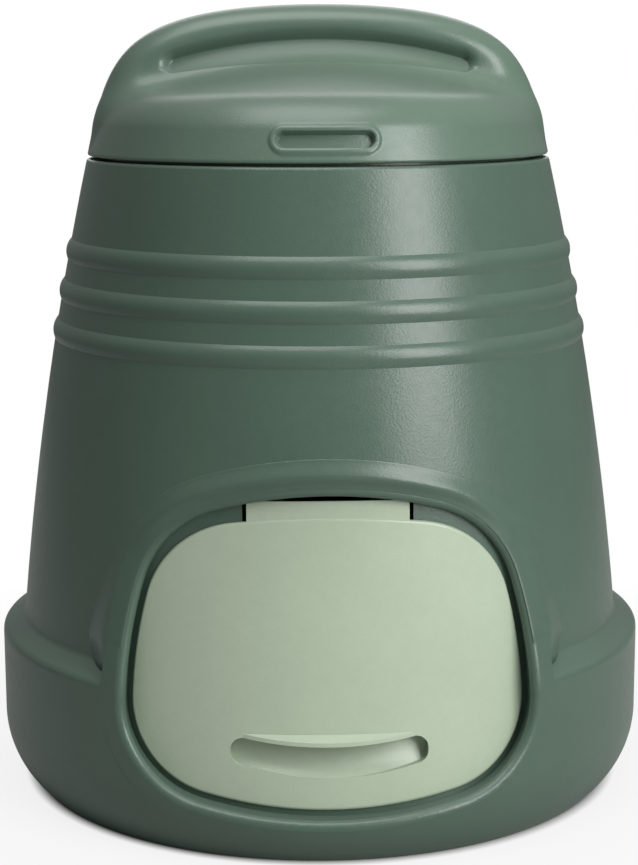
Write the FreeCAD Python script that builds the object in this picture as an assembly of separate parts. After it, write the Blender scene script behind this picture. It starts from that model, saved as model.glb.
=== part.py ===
"""Garden compost bin with a lift-off lid and a hinged emptying hatch.

Millimetres, +Z up. The origin is at the centre of the footprint, on the ground plane,
and the hatch faces -Y. Every size below is a real size of the moulded part.
"""

import FreeCAD, Part

import math
import os

V = FreeCAD.Vector
Z_AXIS = V(0, 0, 1)
X_AXIS = V(1, 0, 0)

# Body shell: a tapered, slightly bulging tub with an open foot and an open mouth
WALL = 4.0                    # wall thickness of the body moulding
FOOT_R = 316.0                # outer radius where the foot meets the ground
SKIRT_R = 350.0               # outer radius of the skirt
SKIRT_CURVE_Z = 75.0          # height where the skirt's foot curve ends
SKIRT_TOP_Z = 168.0           # outer edge of the ledge on top of the skirt
LEDGE_RISE = 14.0             # the ledge climbs this much towards the wall
SKIRT_EDGE_R = 9.0            # rounding of the ledge's outer edge
LEDGE_FILLET_R = 6.0          # fillet between the ledge and the wall
WALL_FOOT_R = 326.0           # outer wall radius just above the ledge
WALL_MID_Z = 430.0            # height of the wall's middle station
WALL_MID_R = 294.3            # outer wall radius there
SHOULDER_Z = 672.0            # top of the body's outer wall
SHOULDER_R = 247.0            # outer wall radius there
SHOULDER_EDGE_R = 4.0         # rounding of the shoulder's edge
RIB_Z = (493.0, 535.0, 577.0)  # heights of the three hoop ribs
RIB_HEIGHT = 22.0             # height of one hoop rib
RIB_PROUD = 3.6               # how far a hoop rib stands out of the wall
NECK_R = 227.5                # outer radius of the neck inside the lid
NECK_TOP_Z = 706.0            # top of the neck, where the lid sits
NECK_EDGE_R = 1.5             # rounding of the neck's top edges
NECK_SEAM_R = 236.0           # seam on the shoulder where the neck ring meets the tub
FOOT_RELIEF = 12.0            # height of the shallow arches between the two feet
FOOT_RELIEF_FROM = 54.0       # degrees from the front where an arch starts
FOOT_RELIEF_EDGE_R = 14.0     # rounding at the ends of an arch

# Hatch: a curved panel leaning back with the wall, in its own tilted frame
HATCH_LEAN = 5.5              # degrees that the hatch leans back
HATCH_FACE_Y = -308.0         # face of the hatch on the centre line, at HATCH_Z
HATCH_Z = 200.0               # height of the hatch frame's origin
HATCH_CURVE_R = 375.0         # plan radius of the hatch's outer face
HATCH_T = 4.0                 # thickness of the hatch panel
HATCH_TOP = 140.0             # top of the panel above the frame's origin
HATCH_BOTTOM = -147.0         # bottom of the panel
HATCH_HALF_W = 194.5          # half the panel's greatest width
HATCH_WIDE_Z = -60.0          # where the panel is widest
HATCH_SIDE_R = 458.0          # radius of the panel's long sides
HATCH_TOP_R = 814.0           # radius of the panel's top edge
HATCH_TOP_CORNER_R = 99.0     # radius of the panel's top corners
HATCH_BOTTOM_R = 551.0        # radius of the panel's bottom edge
HATCH_BOTTOM_CORNER_R = 90.0  # radius of the panel's bottom corners
HATCH_EDGE_R = 3.0            # rounding of the panel's outer edge
HATCH_RIM_DEPTH = 9.0         # depth of the stiffening rim behind the panel
HATCH_RIM_T = 3.0             # thickness of that rim
SEAT_GAP = 0.3                # gap between the hatch and the seat behind it
EDGE_GAP = 6.0                # gap around the hatch in its pocket
SEAT_WIDTH = 16.0             # how far the seat reaches in behind the hatch's edge

# Finger scoop near the foot of the hatch
SCOOP_TOP = -76.0             # top of the scoop, under its lip
SCOOP_BOTTOM = -115.0         # lowest point of the scoop
SCOOP_HALF_W = 97.0           # half its width
SCOOP_DEPTH = 18.0            # depth of the scoop behind the face
SCOOP_CORNER_R = 12.0         # radius of its ends
SCOOP_BOTTOM_R = 330.0        # radius of its lower edge
SCOOP_T = 3.0                 # wall of the scoop
LIP_Z = -72.0                 # root of the lip's upper face
LIP_HALF_W = 84.0             # half the lip's width
LIP_OUT = 9.0                 # how far the lip stands out of the face
LIP_FALL = 0.7                # fall of the lip's upper face per millimetre outwards
LIP_T = 4.0                   # thickness of the lip

# Hinge of the hatch: two short pins through ears behind the brow
TAB_HALF_W = 79.0             # half the width of the tongue above the panel
TAB_TOP = 156.0               # top of the tongue
TAB_STEP = 1.5                # how far the tongue is set back from the panel's face
HINGE_BACK = 20.0             # hinge axis behind the hatch's face
HINGE_UP = 146.0              # hinge axis above the frame's origin
PIN_D = 8.0                   # hinge pin
PIN_FIT = 0.05                # running clearance round a pin, radial
KNUCKLE_R = 8.0               # outer radius of a knuckle and of an ear's boss
KNUCKLE_W = 18.0              # width of one knuckle of the hatch
KNUCKLE_X = 58.0              # distance of each knuckle from the centre line
EAR_W = 6.0                   # thickness of one ear
EAR_GAP = 0.5                 # side play between a knuckle and an ear
EAR_BOSS_R = 6.5              # boss of an ear round its pin
EAR_BACK = 25.0               # ears hang behind the tongue's sweep from here back
RIM_GAP = 2.5                 # gap between the hatch's stiffening rim and its opening
PIN_HEAD_R = 6.5              # head of a hinge pin
PIN_HEAD_T = 3.0              # thickness of that head
SLOT_SIDE_GAP = 4.0           # room beside the tongue in its slot
SLOT_TOP = 178.0              # top of the slot that the tongue swings up into
SLOT_BELOW = 8.0              # the slot opens this far below the seat's inner edge
BORE_SPARE = 2.0              # the bore's reach past the outer ears

# Pocket around the hatch, and the raised surround that joins the skirt
POCKET_TOP = 161.0            # top of the pocket
POCKET_TOP_R = 400.0          # radius of its top edge
POCKET_TOP_CORNER_R = 100.0   # radius of its top corners
SURROUND_W = 24.4             # width of the surround outside the pocket
SURROUND_PROUD = 0.3          # how far the surround stands out of the skirt
SURROUND_RISE = 26.0          # how far the surround follows the skirt straight up
SURROUND_MID_R = 320.0        # pull of its curve towards the wall
SURROUND_MID_Z = 268.0        # and the height of that pull
SURROUND_END_R = 297.0        # its radius above the hatch, a little behind the wall
SURROUND_END_Z = 392.0        # and the height there
RIM_R = 6.5                   # rounding of the pocket's rim

# Lid: a low dome with a grip ridge from side to side
LID_WALL = 3.5                # wall thickness of the lid
LID_GAP = 3.0                 # shadow gap between lid and shoulder
LID_R = 246.6                 # outer radius of the lid's rim
LID_EDGE_R = 2.5              # rounding of the lid's rim
LID_TOP_Z = 832.0             # top of the grip ridge
RIDGE_STATIONS = ((240.0, 704.0, 0.1), (232.8, 729.0, 0.4), (216.0, 767.5, 0.6),
                  (194.5, 792.5, 0.8), (160.0, 811.3, 0.9),
                  (114.0, 823.8, 1.0), (65.0, 830.0, 1.0))  # radius, height, upward share
RIDGE_HALF_T = 56.0           # half the ridge's thickness
RIDGE_EDGE_R = 26.0           # rounding along the ridge's top edges
DOME_Z = 786.0                # height where the dome's slopes would meet
DOME_EDGE_R = 222.0           # radius where a slope turns down into the skirt
DOME_EDGE_Z = 735.0           # height there
DOME_ROUND_R = 24.0           # rounding of that turn
RIDGE_FOOT_UP = 3.0           # the ridge's ends start this far above the lid's rim
GRIP_HALF_W = 157.0           # half the width of the finger groove under the ridge
GRIP_Z = 800.0                # height of the groove's deepest line at the middle
GRIP_ARCH_R = 660.0           # radius of the arch that the groove follows
GRIP_DEPTH = 11.0             # depth of the groove in the ridge's side
GRIP_UP = 13.0                # the groove's reach above its deepest line
GRIP_DOWN = 28.0              # the groove's reach below it, down its flat panel
SEAT_RING_T = 3.0             # thickness of the ring inside the lid that sits on the neck
SEAT_RING_R = 222.0           # inner radius of that ring
LID_SEAM_Z = 731.0            # seam under the slopes where the lid's rim meets its dome

# Finger slot in the front of the lid's skirt
SLOT_Z = 697.5                # height of the slot's middle
SLOT_HALF_W = 46.0            # half the slot's width
SLOT_HALF_H = 8.0             # half the slot's height
SLOT_LIP_W = 8.0              # width of the rolled lip round the slot
SLOT_LIP_PROUD = 1.5          # how far that lip stands out of the skirt
SLOT_LIP_R = 1.2              # rounding of the lip's outer edge
SLOT_FLOOR_T = 2.5            # thickness of the slot's floor
SLOT_CLEAR = 1.0              # room between that floor and the neck


def arc(a, b, c):
    return Part.Arc(a, b, c).toShape()


def line(a, b):
    return Part.LineSegment(a, b).toShape()


def circle_through(p, q, r):
    """Centre and radius of the circle through three (radius, height) stations."""
    a = Part.Circle(V(*p, 0), V(*q, 0), V(*r, 0))
    return a.Center, a.Radius


def revolved(edges):
    """Solid turned about +Z from edges in the XZ plane, closed along the axis."""
    wire = Part.Wire(edges)
    first, last = wire.OrderedVertexes[0].Point, wire.OrderedVertexes[-1].Point
    corners = [last, V(0, 0, last.z), V(0, 0, first.z), first]
    closing = [line(p, q) for p, q in zip(corners, corners[1:]) if (q - p).Length > 1e-6]
    face = Part.Face(Part.Wire(list(wire.OrderedEdges) + closing))
    return face.revolve(V(0, 0, 0), Z_AXIS, 360)


# Body wall outline: one circle through its three stations
WALL_CENTRE, WALL_RADIUS = circle_through((WALL_FOOT_R, SKIRT_TOP_Z + LEDGE_RISE),
                                          (WALL_MID_R, WALL_MID_Z), (SHOULDER_R, SHOULDER_Z))


def wall_r(z, inset=0.0):
    """Outer radius of the body wall at height z, or the radius inset from it."""
    dz = z - WALL_CENTRE.y
    return WALL_CENTRE.x + math.sqrt((WALL_RADIUS - inset) ** 2 - dz * dz)


def seam_edges(shape, radius, z, tol=0.05):
    """Full circular edges of a turned solid at the given radius and height."""
    found = []
    for e in shape.Edges:
        c = e.Curve
        if hasattr(c, "Radius") and abs(c.Radius - radius) < tol and abs(c.Center.z - z) < tol:
            found.append(e)
    return found


# Body shell

def foot_arc(foot_r, skirt_r, foot_z):
    """Arc that turns in under the skirt to the foot, upright where it meets the skirt."""
    dx, dz = skirt_r - foot_r, SKIRT_CURVE_Z - foot_z
    curve_r = (dx * dx + dz * dz) / (2 * dx)
    turn = math.asin(dz / curve_r) / 2
    mid = V(skirt_r - curve_r * (1 - math.cos(turn)), 0,
            SKIRT_CURVE_Z - curve_r * math.sin(turn))
    return arc(V(foot_r, 0, foot_z), mid, V(skirt_r, 0, SKIRT_CURVE_Z))


def body_outline(inset, foot_z, neck_top):
    """Edges of the body's outline from foot to neck, drawn inwards by inset."""
    foot_r, skirt_r = FOOT_R - inset, SKIRT_R - inset
    ledge_z = SKIRT_TOP_Z + LEDGE_RISE - inset
    shoulder_z = SHOULDER_Z - inset
    edges = [foot_arc(foot_r, skirt_r, foot_z),
             line(V(skirt_r, 0, SKIRT_CURVE_Z), V(skirt_r, 0, SKIRT_TOP_Z - inset)),
             line(V(skirt_r, 0, SKIRT_TOP_Z - inset), V(wall_r(ledge_z, inset), 0, ledge_z))]
    z = ledge_z
    for rib_z in RIB_Z:
        low, high = rib_z - RIB_HEIGHT / 2, rib_z + RIB_HEIGHT / 2
        half = (z + low) / 2
        start, end = V(wall_r(low, inset), 0, low), V(wall_r(high, inset), 0, high)
        edges.append(arc(V(wall_r(z, inset), 0, z), V(wall_r(half, inset), 0, half), start))
        crest = V(wall_r(rib_z, inset) + RIB_PROUD, 0, rib_z)
        edges.append(arc(start, crest, end))
        z = high
    half = (z + shoulder_z) / 2
    top = V(wall_r(shoulder_z, inset), 0, shoulder_z)
    edges.append(arc(V(wall_r(z, inset), 0, z), V(wall_r(half, inset), 0, half), top))
    neck_low = V(NECK_R - inset, 0, shoulder_z)
    edges.append(line(top, neck_low))
    edges.append(line(neck_low, V(NECK_R - inset, 0, neck_top)))
    return edges


def body_turned():
    """The turned form of the tub, solid, with its edges rounded."""
    s = revolved(body_outline(0.0, 0.0, NECK_TOP_Z))
    ledge_r = wall_r(SKIRT_TOP_Z + LEDGE_RISE)
    s = s.makeFillet(SKIRT_EDGE_R, seam_edges(s, SKIRT_R, SKIRT_TOP_Z))
    s = s.makeFillet(LEDGE_FILLET_R, seam_edges(s, ledge_r, SKIRT_TOP_Z + LEDGE_RISE))
    s = s.makeFillet(SHOULDER_EDGE_R, seam_edges(s, wall_r(SHOULDER_Z), SHOULDER_Z))
    return s.makeFillet(NECK_EDGE_R, seam_edges(s, NECK_R, NECK_TOP_Z))


# Hatch frame: local X along the hinge, local Y into the bin, local Z up the panel
HATCH_FRAME = FreeCAD.Placement(V(0, HATCH_FACE_Y, HATCH_Z),
                                FreeCAD.Rotation(X_AXIS, -HATCH_LEAN))
IN_FRONT = -90.0              # local Y well in front of the hatch
BEHIND = 150.0                # local Y well behind the hatch's edges


def placed(shape):
    s = shape.copy()
    s.Placement = HATCH_FRAME.multiply(s.Placement)
    return s


def meeting(c1, r1, c2, r2, upward):
    """The right-hand crossing of two circles, the upper or the lower one."""
    gap = c2 - c1
    d = gap.Length
    along = (r1 * r1 - r2 * r2 + d * d) / (2 * d)
    aside = math.sqrt(r1 * r1 - along * along)
    e = gap / d
    n = V(-e.z, 0, e.x)
    points = [c1 + e * along + n * aside, c1 + e * along - n * aside]
    return max(points, key=lambda q: q.x + (q.z if upward else -q.z))


def rounded_outline(top, top_r, top_corner_r, grow):
    """Closed outline of the hatch family: eight tangent arcs, grown outwards by grow."""
    side_c = V(HATCH_HALF_W - HATCH_SIDE_R, 0, HATCH_WIDE_Z)
    top_c = V(0, 0, top - top_r)
    low_c = V(0, 0, HATCH_BOTTOM + HATCH_BOTTOM_R)
    up = meeting(top_c, top_r - top_corner_r, side_c, HATCH_SIDE_R - top_corner_r, True)
    low = meeting(low_c, HATCH_BOTTOM_R - HATCH_BOTTOM_CORNER_R,
                  side_c, HATCH_SIDE_R - HATCH_BOTTOM_CORNER_R, False)

    def from_centre(c, r, toward):
        return c + (toward - c).normalize() * (r + grow)

    def corner(c, r, c1, c2):
        half = ((c - c1).normalize() + (c - c2).normalize()).normalize()
        return c + half * (r + grow)

    a = from_centre(top_c, top_r, up)
    b = from_centre(side_c, HATCH_SIDE_R, up)
    c = from_centre(side_c, HATCH_SIDE_R, low)
    d = from_centre(low_c, HATCH_BOTTOM_R, low)
    up_mid = corner(up, top_corner_r, top_c, side_c)
    low_mid = corner(low, HATCH_BOTTOM_CORNER_R, low_c, side_c)
    side_mid = side_c + (b + c - side_c * 2).normalize() * (HATCH_SIDE_R + grow)

    def flip(p):
        return V(-p.x, 0, p.z)

    return Part.Wire([arc(flip(a), V(0, 0, top + grow), a), arc(a, up_mid, b),
                      arc(b, side_mid, c), arc(c, low_mid, d),
                      arc(d, V(0, 0, HATCH_BOTTOM - grow), flip(d)),
                      arc(flip(d), flip(low_mid), flip(c)),
                      arc(flip(c), flip(side_mid), flip(b)),
                      arc(flip(b), flip(up_mid), flip(a))])


def prism(wire, y_from, y_to):
    face = Part.Face(wire)
    face.translate(V(0, y_from, 0))
    return face.extrude(V(0, y_to - y_from, 0))


def hatch_prism(grow, y_from=IN_FRONT, y_to=BEHIND):
    return prism(rounded_outline(HATCH_TOP, HATCH_TOP_R, HATCH_TOP_CORNER_R, grow), y_from, y_to)


def pocket_prism(grow, y_from=IN_FRONT, y_to=BEHIND):
    outline = rounded_outline(POCKET_TOP - EDGE_GAP, POCKET_TOP_R, POCKET_TOP_CORNER_R,
                              EDGE_GAP + grow)
    return prism(outline, y_from, y_to)


def bow(depth):
    """Upright cylinder whose front is at local Y = depth, curved like the hatch."""
    r = HATCH_CURVE_R - depth
    reach = 2 * (HATCH_TOP - HATCH_BOTTOM)
    return Part.makeCylinder(r, reach, V(0, HATCH_CURVE_R, -reach / 2), Z_AXIS)


def local_box(x0, x1, y0, y1, z0, z1):
    return Part.makeBox(x1 - x0, y1 - y0, z1 - z0, V(x0, y0, z0))


SEAT_Y = HATCH_T + SEAT_GAP   # the seat's face behind the hatch, on the centre line
EAR_TOP = SLOT_TOP + 5.0      # ears run up into the wall above the slot


def front_turned(inset, foot_z):
    """Turned form behind the hatch's surround: the skirt runs up into a leaning band."""
    shift = SURROUND_PROUD - inset
    foot_r, skirt_r = FOOT_R + shift, SKIRT_R + shift
    low_z = SKIRT_TOP_Z - SKIRT_EDGE_R
    curve = Part.BezierCurve()
    curve.setPoles([V(skirt_r, 0, low_z), V(skirt_r, 0, low_z + SURROUND_RISE),
                    V(SURROUND_MID_R - inset, 0, SURROUND_MID_Z),
                    V(SURROUND_END_R - inset, 0, SURROUND_END_Z)])
    edges = [foot_arc(foot_r, skirt_r, foot_z),
             line(V(skirt_r, 0, SKIRT_CURVE_Z), V(skirt_r, 0, low_z)), curve.toShape()]
    return revolved(edges)


def foot_reliefs():
    """Shallow arches between the front and the back foot, cut straight across."""
    y_low = FOOT_R * math.cos(math.radians(FOOT_RELIEF_FROM - 3))
    y_high = FOOT_R * math.cos(math.radians(FOOT_RELIEF_FROM + 4))
    pts = [V(0, -y_low, -1), V(0, -y_high, FOOT_RELIEF), V(0, y_high, FOOT_RELIEF),
           V(0, y_low, -1)]
    face = Part.Face(Part.makePolygon(pts + [pts[0]]))
    cutter = face.extrude(V(2 * SKIRT_R + 20, 0, 0))
    cutter.translate(V(-SKIRT_R - 10, 0, 0))
    tops = [e for e in cutter.Edges
            if abs(e.CenterOfMass.z - FOOT_RELIEF) < 0.01 and abs(e.CenterOfMass.x) < 0.01
            and abs(abs(e.CenterOfMass.y) - y_high) < 0.01]
    return cutter.makeFillet(FOOT_RELIEF_EDGE_R, tops)


def on_outline(edge, walls):
    """Whether an edge runs along one of the given walls."""
    reach = edge.LastParameter - edge.FirstParameter
    for part in (0.2, 0.5, 0.8):
        point = Part.Vertex(edge.valueAt(edge.FirstParameter + part * reach))
        if min(point.distToShape(w)[0] for w in walls) > 0.02:
            return False
    return True


def rounded_rim(shape):
    """Rounds the rim where the pocket's wall meets the outside of the body."""
    long_prism = placed(pocket_prism(0.0, IN_FRONT - 40, BEHIND + 60))
    walls = [f for f in long_prism.Faces if f.Surface.TypeId != "Part::GeomPlane"]
    seat = placed(bow(SEAT_Y)).Shells[0]
    rim = []
    for e in shape.Edges:
        middle = Part.Vertex(e.valueAt((e.FirstParameter + e.LastParameter) / 2))
        straight = e.Curve.TypeId == "Part::GeomLine"
        if not straight and on_outline(e, walls) and middle.distToShape(seat)[0] > 0.1:
            rim.append(e)
    return shape.makeFillet(RIM_R, rim)


def ear(x):
    """One hinge ear with its boss, at local X = x on its low side."""
    back = HINGE_BACK + KNUCKLE_R + 1
    pts = [V(x, EAR_BACK, HINGE_UP), V(x, back, HINGE_UP), V(x, back, EAR_TOP),
           V(x, IN_FRONT, EAR_TOP), V(x, IN_FRONT, SLOT_TOP - 5), V(x, EAR_BACK, SLOT_TOP - 5)]
    plate = Part.Face(Part.makePolygon(pts + [pts[0]])).extrude(V(EAR_W, 0, 0))
    boss = Part.makeCylinder(EAR_BOSS_R, EAR_W, V(x, HINGE_BACK, HINGE_UP), X_AXIS)
    return plate.fuse(boss)


def hinge_bore():
    """Running bore for both hinge pins, just past the outer ears."""
    reach = KNUCKLE_X + KNUCKLE_W / 2 + EAR_GAP + EAR_W + BORE_SPARE
    return Part.makeCylinder(PIN_D / 2 + PIN_FIT, 2 * reach, V(-reach, HINGE_BACK, HINGE_UP),
                             X_AXIS)


def ear_positions():
    """Low side of each ear, in pairs round the two knuckles."""
    reach = KNUCKLE_W / 2 + EAR_GAP
    spots = []
    for side in (-1, 1):
        spots += [side * KNUCKLE_X - reach - EAR_W, side * KNUCKLE_X + reach]
    return spots


def body_wall():
    """Turned wall of the tub with the surround's own wall let into its front."""
    turned_inside = revolved(body_outline(WALL, -1.0, NECK_TOP_Z + 1))
    turned_inside.rotate(V(0, 0, 0), Z_AXIS, 90)
    zone = placed(pocket_prism(SURROUND_W))
    zone_inside = placed(pocket_prism(SURROUND_W - WALL))
    front = front_turned(0.0, 0.0).common(zone)
    front_inside = front_turned(WALL, -1.0)
    wall = body_turned().cut(turned_inside).cut(zone)
    front_wall = front.cut(front_inside.common(zone_inside))
    front_wall = front_wall.cut(turned_inside.common(front_inside))
    return wall.fuse(front_wall).removeSplitter(), front, front_inside


def body_shell():
    shell, front, front_inside = body_wall()
    pocket = placed(pocket_prism(0.0).cut(bow(SEAT_Y)))
    shell = shell.cut(pocket)
    liner = placed(pocket_prism(WALL).cut(bow(SEAT_Y + WALL))).cut(pocket)
    shell = shell.fuse(liner.common(front)).removeSplitter()
    shell = rounded_rim(shell)
    shell = shell.cut(placed(hatch_prism(-SEAT_WIDTH)))
    side = TAB_HALF_W + SLOT_SIDE_GAP
    slot = local_box(-side, side, IN_FRONT, BEHIND, HATCH_TOP - SEAT_WIDTH - SLOT_BELOW, SLOT_TOP)
    shell = shell.cut(placed(slot).common(front_inside))
    for x in ear_positions():
        shell = shell.fuse(placed(ear(x)).common(front))
    shell = shell.cut(placed(hinge_bore()))
    return shell.cut(foot_reliefs())


# Hatch

def scoop_outline(grow):
    """Straight top, upright ends and a low arc below, with rounded corners."""
    low_c = V(0, 0, SCOOP_BOTTOM + SCOOP_BOTTOM_R)
    r = SCOOP_BOTTOM_R + grow
    half, top = SCOOP_HALF_W + grow, SCOOP_TOP + grow
    corner_r = SCOOP_CORNER_R + grow
    cx = half - corner_r
    cz = low_c.z - math.sqrt((r - corner_r) ** 2 - cx * cx)
    centre = V(cx, 0, cz)
    touch = low_c + (centre - low_c).normalize() * r
    mid = centre + (V(1, 0, 0) + (touch - centre).normalize()).normalize() * corner_r
    upper = min(top, cz + 2 * corner_r)
    a, b = V(half, 0, top), V(half, 0, cz)

    def flip(p):
        return V(-p.x, 0, p.z)

    edges = [line(flip(a), a)]
    if upper - cz > 0.01:
        edges.append(line(a, b))
    edges += [arc(b, mid, touch), arc(touch, V(0, 0, SCOOP_BOTTOM - grow), flip(touch)),
              arc(flip(touch), flip(mid), flip(b)), line(flip(b), flip(a))]
    return Part.Wire(edges)


def turned_local(edges):
    """Solid turned about the upright axis that the hatch's face curves round."""
    s = revolved(edges)
    s.translate(V(0, HATCH_CURVE_R, 0))
    return s


def scoop_floor(inset):
    """Dish that is deepest under the lip and runs out at the foot of the scoop."""
    r = HATCH_CURVE_R - inset
    mid_z = SCOOP_TOP + 0.58 * (SCOOP_BOTTOM - SCOOP_TOP)
    foot = line(V(r + 0.5, 0, SCOOP_BOTTOM - 20), V(r + 0.5, 0, SCOOP_BOTTOM - 1))
    dish = arc(V(r + 0.5, 0, SCOOP_BOTTOM - 1), V(r - 0.72 * SCOOP_DEPTH, 0, mid_z),
               V(r - SCOOP_DEPTH, 0, SCOOP_TOP))
    rise = line(V(r - SCOOP_DEPTH, 0, SCOOP_TOP), V(r - SCOOP_DEPTH, 0, SCOOP_TOP + 20))
    return turned_local([foot, dish, rise])


def lip():
    """Small shelf over the scoop; its front edge curves back into the face at its ends."""
    inner, outer = HATCH_CURVE_R - 3, HATCH_CURVE_R + LIP_OUT + 1
    pts = [V(inner, 0, LIP_Z + 3 * LIP_FALL), V(outer, 0, LIP_Z - (LIP_OUT + 1) * LIP_FALL),
           V(outer, 0, LIP_Z - (LIP_OUT + 1) * LIP_FALL - LIP_T),
           V(inner, 0, LIP_Z + 3 * LIP_FALL - LIP_T)]
    ring = Part.Face(Part.makePolygon(pts + [pts[0]])).revolve(V(0, 0, 0), Z_AXIS, 360)
    ring.translate(V(0, HATCH_CURVE_R, 0))
    sag = HATCH_CURVE_R - math.sqrt(HATCH_CURVE_R ** 2 - LIP_HALF_W ** 2) + LIP_OUT
    front_r = (LIP_HALF_W ** 2 + sag ** 2) / (2 * sag)
    nose = Part.makeCylinder(front_r, 60, V(0, front_r - LIP_OUT, LIP_Z - 40), Z_AXIS)
    near = local_box(-LIP_HALF_W, LIP_HALF_W, -LIP_OUT - 2, 30, LIP_Z - 40, LIP_Z + 10)
    return ring.common(nose).common(near)


def knuckle(side):
    """Barrel and leg behind the tongue that turn on one hinge pin."""
    x = side * KNUCKLE_X - KNUCKLE_W / 2
    barrel = Part.makeCylinder(KNUCKLE_R, KNUCKLE_W, V(x, HINGE_BACK, HINGE_UP), X_AXIS)
    leg = local_box(x, x + KNUCKLE_W, TAB_STEP + 2, HINGE_BACK, HINGE_UP - KNUCKLE_R,
                    HINGE_UP + KNUCKLE_R)
    return barrel.fuse(leg)


def hatch_panel():
    panel = hatch_prism(0.0).common(bow(0.0)).cut(bow(HATCH_T))
    panel = panel.removeSplitter()
    front = [e for e in panel.Edges if e.Length > 30
             and all(v.Point.distanceToLine(V(0, HATCH_CURVE_R, 0), Z_AXIS) > HATCH_CURVE_R - 0.01
                     for v in e.Vertexes)]
    panel = panel.makeFillet(HATCH_EDGE_R, front)
    rim = hatch_prism(-SEAT_WIDTH - RIM_GAP).cut(hatch_prism(-SEAT_WIDTH - RIM_GAP - HATCH_RIM_T))
    rim = rim.common(bow(HATCH_T - 0.5)).cut(bow(HATCH_T + HATCH_RIM_DEPTH))
    panel = panel.fuse(rim)
    tab = local_box(-TAB_HALF_W, TAB_HALF_W, -20, 40, HATCH_TOP - 14, TAB_TOP)
    tab = tab.common(bow(TAB_STEP)).cut(bow(TAB_STEP + HATCH_T))
    panel = panel.fuse(tab)
    for side in (-1, 1):
        panel = panel.fuse(knuckle(side).common(bow(TAB_STEP + 1)))
    panel = panel.cut(hinge_bore())
    pan = prism(scoop_outline(SCOOP_T), IN_FRONT, BEHIND).common(bow(1.0))
    panel = panel.fuse(pan.cut(scoop_floor(SCOOP_T)))
    hollow = prism(scoop_outline(0.0), IN_FRONT, BEHIND).cut(scoop_floor(0.0))
    panel = panel.cut(hollow)
    return placed(panel.fuse(lip()))


def hinge_pin(side):
    """Headed pin through two ears and the knuckle between them."""
    reach = KNUCKLE_W / 2 + EAR_GAP + EAR_W
    start, end = KNUCKLE_X - reach - 2, KNUCKLE_X + reach
    pin = Part.makeCylinder(PIN_D / 2, end - start, V(start, 0, 0), X_AXIS)
    head = Part.makeCylinder(PIN_HEAD_R, PIN_HEAD_T, V(end, 0, 0), X_AXIS)
    pin = pin.fuse(head)
    tip = [e for e in pin.Edges if abs(e.CenterOfMass.x - start) < 0.01]
    pin = pin.makeChamfer(1.0, tip)
    if side < 0:
        pin = pin.mirror(V(0, 0, 0), X_AXIS)
    pin.translate(V(0, HINGE_BACK, HINGE_UP))
    return placed(pin)


# Lid

def lid_low(inset):
    """Skirt and shallow cone of the lid, drawn inwards by inset."""
    foot_z = SHOULDER_Z + LID_GAP
    lean = (LID_R - DOME_EDGE_R) / (DOME_EDGE_Z - foot_z)
    base_z = foot_z - (1.0 if inset else 0.0)
    edges = [line(V(LID_R - inset + lean * (foot_z - base_z), 0, base_z),
                  V(DOME_EDGE_R - inset + lean * inset, 0, DOME_EDGE_Z - inset)),
             line(V(DOME_EDGE_R - inset + lean * inset, 0, DOME_EDGE_Z - inset),
                  V(0, 0, DOME_Z - inset))]
    s = revolved(edges)
    turn = seam_edges(s, DOME_EDGE_R - inset + lean * inset, DOME_EDGE_Z - inset)
    s = s.makeFillet(DOME_ROUND_R - inset, turn)
    if inset == 0.0:
        s = s.makeFillet(LID_EDGE_R, seam_edges(s, LID_R, foot_z))
    return s


def ridge(inset):
    """Grip ridge from side to side, following its own taller outline."""
    curve = Part.BSplineCurve()
    foot = V(LID_R - inset, 0, SHOULDER_Z + LID_GAP)
    stations = [V(r - inset, 0, z - inset * z_share) for r, z, z_share in RIDGE_STATIONS]
    curve.interpolate([foot] + stations + [V(0, 0, LID_TOP_Z - inset)])
    tall = revolved([curve.toShape()])
    half = RIDGE_HALF_T - inset
    low_z = foot.z + RIDGE_FOOT_UP + inset
    slab = Part.makeBox(2 * LID_R, 2 * half, LID_TOP_Z, V(-LID_R, -half, low_z))
    block = tall.common(slab)
    tops = [e for e in block.Edges if e.Length > LID_R and e.CenterOfMass.z > DOME_EDGE_Z
            and all(abs(abs(v.Point.y) - half) < 0.01 for v in e.Vertexes)]
    return block.makeFillet(RIDGE_EDGE_R - inset, tops)


def grip_groove(side, grow):
    """Finger groove on one side of the ridge, swept along a flat arch."""
    y = RIDGE_HALF_T - GRIP_DEPTH - grow
    low, high = GRIP_ARCH_R - GRIP_DOWN - grow, GRIP_ARCH_R + GRIP_UP + grow
    out = RIDGE_HALF_T + 30
    mouth = RIDGE_HALF_T + 2
    nose = V(0, -mouth, high + 3)
    deep = V(0, -y, GRIP_ARCH_R - 2)
    via = V(0, -(y + 0.28 * (mouth - y)), GRIP_ARCH_R + 0.7 * (GRIP_UP + grow))
    wire = Part.Wire([arc(nose, via, deep), line(deep, V(0, -y - 1.5, low)),
                      line(V(0, -y - 1.5, low), V(0, -out, low)),
                      line(V(0, -out, low), V(0, -out, high + 3)),
                      line(V(0, -out, high + 3), nose)])
    half_angle = math.degrees(math.asin((GRIP_HALF_W + grow) / GRIP_ARCH_R))
    face = Part.Face(wire)
    cutter = face.revolve(V(0, 0, 0), V(0, 1, 0), half_angle)
    cutter = cutter.fuse(face.revolve(V(0, 0, 0), V(0, 1, 0), -half_angle)).removeSplitter()
    cutter.translate(V(0, 0, GRIP_Z - GRIP_ARCH_R))
    if side > 0:
        cutter = cutter.mirror(V(0, 0, 0), V(0, 1, 0))
    return cutter


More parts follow.
